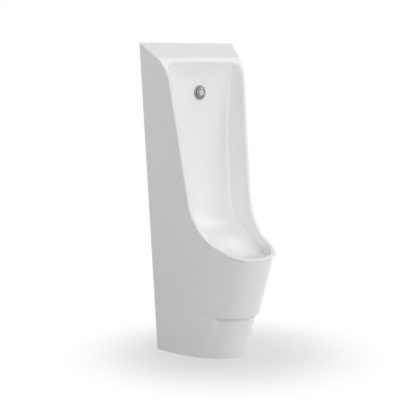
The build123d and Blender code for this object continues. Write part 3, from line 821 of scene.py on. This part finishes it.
def place_in_hollow(column, row):
    z = hollow_low + (hollow_high - hollow_low) * row / hollow_rows
    curve = plan_curve(z, china_wall)
    front = min(front_from_wall(z, china_wall), curve[3][1])
    first = share_at(curve, china_wall)
    last = share_at(curve, front) if front < curve[3][1] else 1.0
    if column <= hollow_side_columns:
        point = on_curve(curve, first + (last - first) * column / hollow_side_columns)
        if column == 0:
            point.y = china_wall
    else:
        point = on_curve(curve, last)
        point.x *= 1 - (column - hollow_side_columns) / hollow_front_columns
    if abs(point.x) < plane_gap:
        point.x = 0.0
    return at(point.x, point.y, z)


hollow_top_walls = 1.2
hollow_high = halved(
    knee_z, height, lambda z: front_from_wall(z, china_wall) > china_wall * hollow_top_walls)[0]
grown_rows = 60
lifts_from = 0.85
drops_below = 0.40
lift_run = 0.15


def place_on_grown_niche(column, row):
    share = row / grown_rows
    z = basin_floor + (niche_top - basin_floor) * share
    curves = niche_curves(min(z, niche_top - 0.0001), china_wall)
    point = on_outline(curves, column, lambda column, length: column / link_columns)
    if column in (0, niche_columns):
        point.x = 0.0
    lift = china_wall * (smooth((share - lifts_from) / lift_run) - smooth((drops_below - share) / lift_run))
    return at(point.x, point.y, z + lift)


def as_object(bm, name):
    bmesh.ops.recalc_face_normals(bm, faces=bm.faces)
    mesh = bpy.data.meshes.new(name)
    bm.to_mesh(mesh)
    bm.free()
    made = bpy.data.objects.new(name, mesh)
    scene.collection.objects.link(made)
    return made


def carved(target, cutter):
    """Takes one solid out of another and drops the cutter."""
    cut = target.modifiers.new("cut", "BOOLEAN")
    cut.operation = "DIFFERENCE"
    cut.solver = "EXACT"
    cut.material_mode = "TRANSFER"
    cut.object = cutter
    depsgraph = bpy.context.evaluated_depsgraph_get()
    result = bpy.data.meshes.new_from_object(target.evaluated_get(depsgraph))
    target.modifiers.clear()
    old = target.data
    target.data = result
    bpy.data.meshes.remove(old)
    bpy.data.objects.remove(cutter)


hollow_bm = bmesh.new()
grid_of(hollow_bm, hollow_side_columns + hollow_front_columns, hollow_rows, place_in_hollow)
mirrored(hollow_bm)
closed_on_plane(hollow_bm, 1, wall_y - china_wall)
closed_on_plane(hollow_bm, 2, hollow_low)
closed_on_plane(hollow_bm, 2, hollow_high)
hollow = as_object(hollow_bm, "hollow")

niche_bm = bmesh.new()
grid_of(niche_bm, niche_columns, grown_rows, place_on_grown_niche)
mirrored(niche_bm)
for edge_z in (basin_floor - china_wall, niche_top + china_wall):
    closed_on_plane(niche_bm, 2, edge_z)
carved(hollow, as_object(niche_bm, "niche_block"))


round_segments = 64


def round_block(bm, radius, length, place):
    bmesh.ops.create_cone(
        bm, cap_ends=True, segments=round_segments, radius1=radius, radius2=radius,
        depth=length, matrix=place)


def upright_cutter(bm, radius, low, high):
    """A round block on the axis of the drain."""
    round_block(bm, radius, high - low, Matrix.Translation(at(0.0, drain_from_wall, (low + high) / 2)))


def level_cutter(bm, radius, back, front):
    """A round block on the axis of the water inlet, which runs out level from the wall."""
    middle = Matrix.Translation(at(0.0, (back + front) / 2, inlet_height))
    round_block(bm, radius, front - back, middle @ Matrix.Rotation(radians(90), 4, "X"))


def window_cutter(bm, width, low, high, corner, from_middle):
    """A block with rounded corners that cuts a window through the back."""
    place = Matrix.Translation(at(from_middle, china_wall / 2, (low + high) / 2)) @ Matrix.Diagonal(
        (width, china_wall * 2, high - low, 1.0))
    made = bmesh.ops.create_cube(bm, size=1.0, matrix=place)
    upright = [edge for edge in {e for v in made["verts"] for e in v.link_edges}
               if abs(edge.verts[0].co.y - edge.verts[1].co.y) > china_wall]
    bmesh.ops.bevel(
        bm, geom=upright, offset=corner, offset_type="OFFSET", segments=6, profile=0.5,
        affect="EDGES", clamp_overlap=False, material=-1)


sump_floor = basin_floor - sump_depth
under_sump = sump_floor - china_wall
sump_bm = bmesh.new()
upright_cutter(sump_bm, sump_radius + china_wall, under_sump, lip_height)
carved(hollow, as_object(sump_bm, "sump_block"))


def finish_named(name, colour, roughness, metallic=0.0):
    """A new material, with a colour and roughness that patterns may then vary."""
    made = bpy.data.materials.new(name)
    made.use_nodes = True
    shader = made.node_tree.nodes["Principled BSDF"]
    shader.inputs["Base Color"].default_value = (*colour, 1.0)
    shader.inputs["Roughness"].default_value = roughness
    shader.inputs["Metallic"].default_value = metallic
    return made


def own_coordinates(material, centre=(0.0, 0.0, 0.0), stretch=(1.0, 1.0, 1.0)):
    """The piece's own coordinates, counted from a centre and stretched along its axes."""
    tree = material.node_tree
    coordinates = tree.nodes.new("ShaderNodeTexCoord")
    mapping = tree.nodes.new("ShaderNodeMapping")
    mapping.inputs["Location"].default_value = [-c * s for c, s in zip(centre, stretch)]
    mapping.inputs["Scale"].default_value = stretch
    tree.links.new(coordinates.outputs["Object"], mapping.inputs["Vector"])
    return mapping.outputs["Vector"]


def cloud(material, scale, detail, stretch=(1.0, 1.0, 1.0)):
    """A cloudy pattern, with a number of clouds to the metre."""
    tree = material.node_tree
    noise = tree.nodes.new("ShaderNodeTexNoise")
    noise.inputs["Scale"].default_value = scale
    noise.inputs["Detail"].default_value = detail
    tree.links.new(own_coordinates(material, stretch=stretch), noise.inputs["Vector"])
    return noise.outputs["Fac"]


pattern_low = 0.35
pattern_high = 0.65


def coloured(material, pattern, low_colour, high_colour):
    """Varies the colour between two values as a pattern rises."""
    tree = material.node_tree
    ramp = tree.nodes.new("ShaderNodeValToRGB")
    ramp.color_ramp.elements[0].position = pattern_low
    ramp.color_ramp.elements[0].color = (*low_colour, 1.0)
    ramp.color_ramp.elements[1].position = pattern_high
    ramp.color_ramp.elements[1].color = (*high_colour, 1.0)
    tree.links.new(pattern, ramp.inputs["Fac"])
    tree.links.new(ramp.outputs["Color"], tree.nodes["Principled BSDF"].inputs["Base Color"])


def roughened(material, pattern, low_roughness, high_roughness):
    """Varies the roughness between two values as a pattern rises."""
    tree = material.node_tree
    spread = tree.nodes.new("ShaderNodeMapRange")
    spread.inputs["From Min"].default_value = pattern_low
    spread.inputs["From Max"].default_value = pattern_high
    spread.inputs["To Min"].default_value = low_roughness
    spread.inputs["To Max"].default_value = high_roughness
    tree.links.new(pattern, spread.inputs["Value"])
    tree.links.new(spread.outputs["Result"], tree.nodes["Principled BSDF"].inputs["Roughness"])


def embossed(material, pattern, depth, strength):
    """Raises the surface by a pattern, over whatever relief it already has."""
    tree = material.node_tree
    bump = tree.nodes.new("ShaderNodeBump")
    bump.inputs["Strength"].default_value = strength
    bump.inputs["Distance"].default_value = depth
    normal = tree.nodes["Principled BSDF"].inputs["Normal"]
    if normal.is_linked:
        tree.links.new(normal.links[0].from_socket, bump.inputs["Normal"])
    tree.links.new(pattern, bump.inputs["Height"])
    tree.links.new(bump.outputs["Normal"], normal)


# The glaze is about half a millimetre thick and sprayed on before firing. It is glossy and a
# little wavy, its white shifts slightly, and its skin is faintly dimpled like orange peel.
glaze = finish_named("white_glaze", (0.92, 0.92, 0.915), 0.12)
coloured(glaze, cloud(glaze, 5.0, 2.0), (0.912, 0.914, 0.912), (0.928, 0.928, 0.924))
roughened(glaze, cloud(glaze, 24.0, 4.0), 0.11, 0.135)
embossed(glaze, cloud(glaze, 7.0, 1.0), 0.0010, 0.4)
embossed(glaze, cloud(glaze, 260.0, 2.0), 0.00006, 0.5)

# Inside, and where holes and windows are cut, the china is bare: off-white, dry and grainy, with
# small specks of iron in the clay.
biscuit = finish_named("bare_china", (0.80, 0.78, 0.74), 0.78)
coloured(biscuit, cloud(biscuit, 30.0, 5.0), (0.74, 0.72, 0.68), (0.83, 0.81, 0.77))
roughened(biscuit, cloud(biscuit, 90.0, 3.0), 0.70, 0.86)
embossed(biscuit, cloud(biscuit, 420.0, 4.0), 0.00025, 0.6)

china = as_object(skin, "china_shell")
china.data.materials.append(glaze)
hollow.data.materials.append(biscuit)
carved(china, hollow)

# The back is cut open while the china is wet: a tall window for the trap, two small ones for the
# hangers, a round one for the inlet nut, and a hole each for the waste and the inlet.
service_low = 0.060
service_high = 0.640
service_frame = 0.042
service_corner = 0.024
hanger_from_middle = 0.112
hanger_window_width = 0.058
hanger_window_low = 0.902
hanger_window_high = 0.948
hanger_window_corner = 0.008
inlet_window_radius = 0.046
inlet_window_back = -0.005
inlet_window_front = china_wall + 0.004
waste_hole_radius = 0.0235
waste_hole_low = under_sump - 0.006
inlet_hole_radius = 0.0115
inlet_hole_back = 0.030
inlet_hole_front = 0.070
window_bm = bmesh.new()
service_width = 2 * (half_width(service_low) - service_frame)
window_cutter(window_bm, service_width, service_low, service_high, service_corner, 0.0)
for side in (-1, 1):
    window_cutter(
        window_bm, hanger_window_width, hanger_window_low, hanger_window_high, hanger_window_corner,
        side * hanger_from_middle)
level_cutter(window_bm, inlet_window_radius, inlet_window_back, inlet_window_front)
hole_bm = bmesh.new()
upright_cutter(hole_bm, waste_hole_radius, waste_hole_low, basin_floor)
level_cutter(hole_bm, inlet_hole_radius, inlet_hole_back, inlet_hole_front)
for cutter_bm, cutter_name in ((window_bm, "windows"), (hole_bm, "holes")):
    cutter = as_object(cutter_bm, cutter_name)
    cutter.data.materials.append(biscuit)
    carved(china, cutter)
china.data.shade_smooth()
china.data.set_sharp_from_angle(angle=radians(35))
weighted = china.modifiers.new("weighted_normals", "WEIGHTED_NORMAL")
weighted.keep_sharp = True
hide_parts("china_body")
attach(china, "urinal")


# Spreader: a chromed brass flange, hood and front cap on the end of the water inlet. They are
# turned, polished and plated, and the hood screws on over the flange.
wave_turn = pi / 10
inlet_middle = (0.0, 0.0, inlet_height)


def dressed(material, *names):
    """Gives fixed pieces of the frame their finish."""
    for name in names:
        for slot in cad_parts[name].material_slots:
            slot.material = material


def rings(material, spacing, axis, centre, distortion=0.0):
    """Fine rings about an axis, as a lathe tool or a brush leaves them."""
    tree = material.node_tree
    wave = tree.nodes.new("ShaderNodeTexWave")
    wave.wave_type = "RINGS"
    wave.rings_direction = axis
    wave.inputs["Scale"].default_value = wave_turn / spacing
    wave.inputs["Distortion"].default_value = distortion
    tree.links.new(own_coordinates(material, centre=centre), wave.inputs["Vector"])
    return wave.outputs["Fac"]


# The flange and hood get a darker chrome than the cap. This is painted dark reflection: all three are the
# same plated metal.
hood_chrome_painted_dark = finish_named("hood_chrome_painted_dark", (0.30, 0.30, 0.31), 0.10, 1.0)
coloured(hood_chrome_painted_dark, cloud(hood_chrome_painted_dark, 60.0, 3.0), (0.27, 0.27, 0.28), (0.33, 0.33, 0.34))
roughened(hood_chrome_painted_dark, cloud(hood_chrome_painted_dark, 70.0, 4.0), 0.07, 0.15)
embossed(hood_chrome_painted_dark, rings(hood_chrome_painted_dark, 0.0006, "Y", inlet_middle), 0.000004, 0.5)
dressed(hood_chrome_painted_dark, "spreader_flange", "spreader_hood")
cap_chrome = finish_named("cap_chrome", (0.56, 0.56, 0.57), 0.08, 1.0)
roughened(cap_chrome, cloud(cap_chrome, 90.0, 4.0), 0.05, 0.13)
embossed(cap_chrome, rings(cap_chrome, 0.0006, "Y", inlet_middle), 0.000004, 0.5)
dressed(cap_chrome, "spreader_cap")

# Water inlet behind the niche: machined brass, dull and a little darkened, with the fine rings
# that the tool left. The nut and its ring clamp the china, and the coupling takes the pipe.
level_brass = finish_named("turned_brass", (0.72, 0.56, 0.28), 0.3, 1.0)
coloured(level_brass, cloud(level_brass, 55.0, 5.0), (0.58, 0.43, 0.20), (0.76, 0.60, 0.32))
roughened(level_brass, cloud(level_brass, 130.0, 3.0), 0.22, 0.42)
embossed(level_brass, rings(level_brass, 0.0005, "Y", inlet_middle, 0.4), 0.00001, 0.5)
dressed(level_brass, "inlet_spud", "inlet_backing_ring", "inlet_nut", "supply_coupling")

# Seals: moulded black rubber rings, matt and slightly dusty.
rubber = finish_named("black_rubber", (0.035, 0.035, 0.035), 0.65)
coloured(rubber, cloud(rubber, 90.0, 4.0), (0.026, 0.026, 0.027), (0.052, 0.051, 0.050))
roughened(rubber, cloud(rubber, 240.0, 3.0), 0.55, 0.78)
embossed(rubber, cloud(rubber, 900.0, 3.0), 0.00006, 0.6)
dressed(
    rubber, "spreader_gasket", "inlet_washer", "supply_seal", "waste_gasket", "waste_washer",
    "trap_inlet_washer", "cleanout_seal", "trap_joint_washer", "socket_seal", "floor_ring")

# Waste fitting: a chromed brass flange and threaded tube through the sump, drawn tight from
# below by a brass ring and nut.
drain_middle = (0.0, wall_y - drain_from_wall, 0.0)
waste_chrome = finish_named("chromed_waste", (0.55, 0.55, 0.56), 0.12, 1.0)
roughened(waste_chrome, cloud(waste_chrome, 80.0, 4.0), 0.08, 0.22)
embossed(waste_chrome, rings(waste_chrome, 0.0006, "Z", drain_middle), 0.000006, 0.5)
dressed(waste_chrome, "waste_fitting")
upright_brass = finish_named("pressed_brass", (0.72, 0.56, 0.28), 0.3, 1.0)
coloured(upright_brass, cloud(upright_brass, 50.0, 5.0), (0.56, 0.42, 0.20), (0.75, 0.59, 0.31))
roughened(upright_brass, cloud(upright_brass, 120.0, 3.0), 0.25, 0.45)
embossed(upright_brass, rings(upright_brass, 0.0005, "Z", drain_middle, 0.4), 0.00001, 0.5)
dressed(upright_brass, "waste_backing_ring", "waste_nut")

# Strainer: a pressed dome of stainless steel with drilled holes, brushed in rings. It lies loose
# in the recess of the waste fitting and lifts out by hand.
stainless = finish_named("brushed_stainless", (0.66, 0.66, 0.67), 0.3, 1.0)
coloured(stainless, cloud(stainless, 45.0, 4.0), (0.60, 0.60, 0.61), (0.70, 0.70, 0.71))
roughened(stainless, cloud(stainless, 300.0, 2.0), 0.22, 0.40)
embossed(stainless, rings(stainless, 0.00035, "Z", drain_middle, 1.5), 0.00001, 0.6)
dressed(stainless, "strainer")

# Trap: moulded white polypropylene pipe with ribbed union nuts and a cleanout plug. Its skin is
# satin, with faint flow marks from the mould.
trap_plastic = finish_named("white_polypropylene", (0.84, 0.84, 0.82), 0.4)
coloured(trap_plastic, cloud(trap_plastic, 18.0, 3.0), (0.81, 0.81, 0.785), (0.86, 0.86, 0.845))
roughened(trap_plastic, cloud(trap_plastic, 60.0, 4.0), 0.33, 0.48)
embossed(trap_plastic, cloud(trap_plastic, 30.0, 2.0, stretch=(1.0, 1.0, 0.2)), 0.0003, 0.3)
embossed(trap_plastic, cloud(trap_plastic, 800.0, 2.0), 0.00004, 0.5)
dressed(
    trap_plastic, "trap_inlet_nut", "trap_u_bend", "cleanout_plug", "trap_joint_nut", "trap_outlet_bend")

# Hangers: bent steel plates with a grey zinc coat, screwed to the wall. Nylon pads lie between
# their tongues and the china.
zinc = finish_named("zinc_plated_steel", (0.60, 0.62, 0.64), 0.4, 1.0)
coloured(zinc, cloud(zinc, 160.0, 5.0), (0.50, 0.52, 0.54), (0.66, 0.68, 0.70))
roughened(zinc, cloud(zinc, 110.0, 4.0), 0.32, 0.52)
embossed(zinc, cloud(zinc, 60.0, 2.0, stretch=(1.0, 1.0, 6.0)), 0.00003, 0.5)
dressed(zinc, "hanger_left", "hanger_right")
nylon = finish_named("grey_nylon", (0.30, 0.31, 0.32), 0.5)
coloured(nylon, cloud(nylon, 70.0, 3.0), (0.28, 0.29, 0.30), (0.33, 0.34, 0.35))
roughened(nylon, cloud(nylon, 150.0, 3.0), 0.42, 0.58)
embossed(nylon, cloud(nylon, 700.0, 2.0), 0.00005, 0.5)
dressed(nylon, "hanger_pads")


# Floor and light: a plain white studio floor that runs out to white, under large soft lamps all
# round, of which the strongest stand on the right.
floor_half = 20.0
floor_white = (0.55, 0.55, 0.55)
shadow_lift = 0.50
fades_from = 0.10
fades_to = 0.55
floor_bm = bmesh.new()
bmesh.ops.create_grid(floor_bm, x_segments=1, y_segments=1, size=floor_half)
floor = as_object(floor_bm, "floor")


def seen_directly(tree):
    """One for rays from the camera and for rays that a mirror or glass passes on."""
    path_kind = tree.nodes.new("ShaderNodeLightPath")
    seen = path_kind.outputs["Is Camera Ray"]
    for kind in ("Is Glossy Ray", "Is Transmission Ray"):
        either = tree.nodes.new("ShaderNodeMath")
        either.operation = "MAXIMUM"
        tree.links.new(seen, either.inputs[0])
        tree.links.new(path_kind.outputs[kind], either.inputs[1])
        seen = either.outputs["Value"]
    return seen


floor_finish = finish_named("white_floor", floor_white, 0.9)
tree = floor_finish.node_tree
distance = tree.nodes.new("ShaderNodeVectorMath")
distance.operation = "LENGTH"
tree.links.new(own_coordinates(floor_finish), distance.inputs[0])
fading = tree.nodes.new("ShaderNodeMapRange")
fading.interpolation_type = "SMOOTHSTEP"
fading.inputs["From Min"].default_value = fades_from
fading.inputs["From Max"].default_value = fades_to
fading.inputs["To Min"].default_value = shadow_lift
fading.inputs["To Max"].default_value = 1.0
tree.links.new(distance.outputs["Value"], fading.inputs["Value"])
share = tree.nodes.new("ShaderNodeMath")
share.operation = "MULTIPLY"
tree.links.new(fading.outputs["Result"], share.inputs[0])
tree.links.new(seen_directly(tree), share.inputs[1])
white = tree.nodes.new("ShaderNodeEmission")
white.inputs["Color"].default_value = (1.0, 1.0, 1.0, 1.0)
blend = tree.nodes.new("ShaderNodeMixShader")
tree.links.new(share.outputs["Value"], blend.inputs["Fac"])
tree.links.new(tree.nodes["Principled BSDF"].outputs["BSDF"], blend.inputs[1])
tree.links.new(white.outputs["Emission"], blend.inputs[2])
tree.links.new(blend.outputs["Shader"], tree.nodes["Material Output"].inputs["Surface"])
floor.data.materials.append(floor_finish)

world_strength = 0.2
world = bpy.data.worlds.new("studio")
scene.world = world
world.use_nodes = True
tree = world.node_tree
soft = tree.nodes["Background"]
soft.inputs["Color"].default_value = (1.0, 1.0, 1.0, 1.0)
soft.inputs["Strength"].default_value = world_strength
backdrop = tree.nodes.new("ShaderNodeBackground")
backdrop.inputs["Color"].default_value = (1.0, 1.0, 1.0, 1.0)
backdrop.inputs["Strength"].default_value = 1.0
blend = tree.nodes.new("ShaderNodeMixShader")
tree.links.new(seen_directly(tree), blend.inputs["Fac"])
tree.links.new(soft.outputs["Background"], blend.inputs[1])
tree.links.new(backdrop.outputs["Background"], blend.inputs[2])
tree.links.new(blend.outputs["Shader"], tree.nodes["World Output"].inputs["Surface"])

# Each lamp: its name, where it stands, its power, and whether shiny surfaces mirror it.
lamps = [
    ("right_lamp", (4.0, 0.0, 0.8), 55.0, False),
    ("right_front_lamp", (3.0, -3.0, 0.8), 44.0, False),
    ("front_lamp", (0.0, -4.0, 0.8), 28.0, True),
    ("left_high_lamp", (-2.2, -2.4, 3.2), 31.0, True),
    ("high_lamp", (0.0, -0.5, 4.5), 21.0, True),
    ("right_high_lamp", (2.8, -0.5, 3.2), 16.0, True),
    ("left_front_lamp", (-3.0, -3.0, 0.8), 20.0, False),
    ("right_back_lamp", (3.0, 3.0, 1.5), 18.0, False),
    ("left_back_lamp", (-3.0, 3.0, 1.5), 25.0, False),
]
lamp_size = 2.0
aim = Vector((0.0, 0.0, 0.5))
for name, place, power, seen_in_gloss in lamps:
    light = bpy.data.lights.new(name, "AREA")
    light.shape = "SQUARE"
    light.size = lamp_size
    light.energy = power
    lamp = bpy.data.objects.new(name, light)
    lamp.location = place
    lamp.visible_glossy = seen_in_gloss
    lamp.rotation_euler = (aim - lamp.location).to_track_quat("-Z", "Y").to_euler()
    scene.collection.objects.link(lamp)
scene.view_settings.view_transform = "Standard"
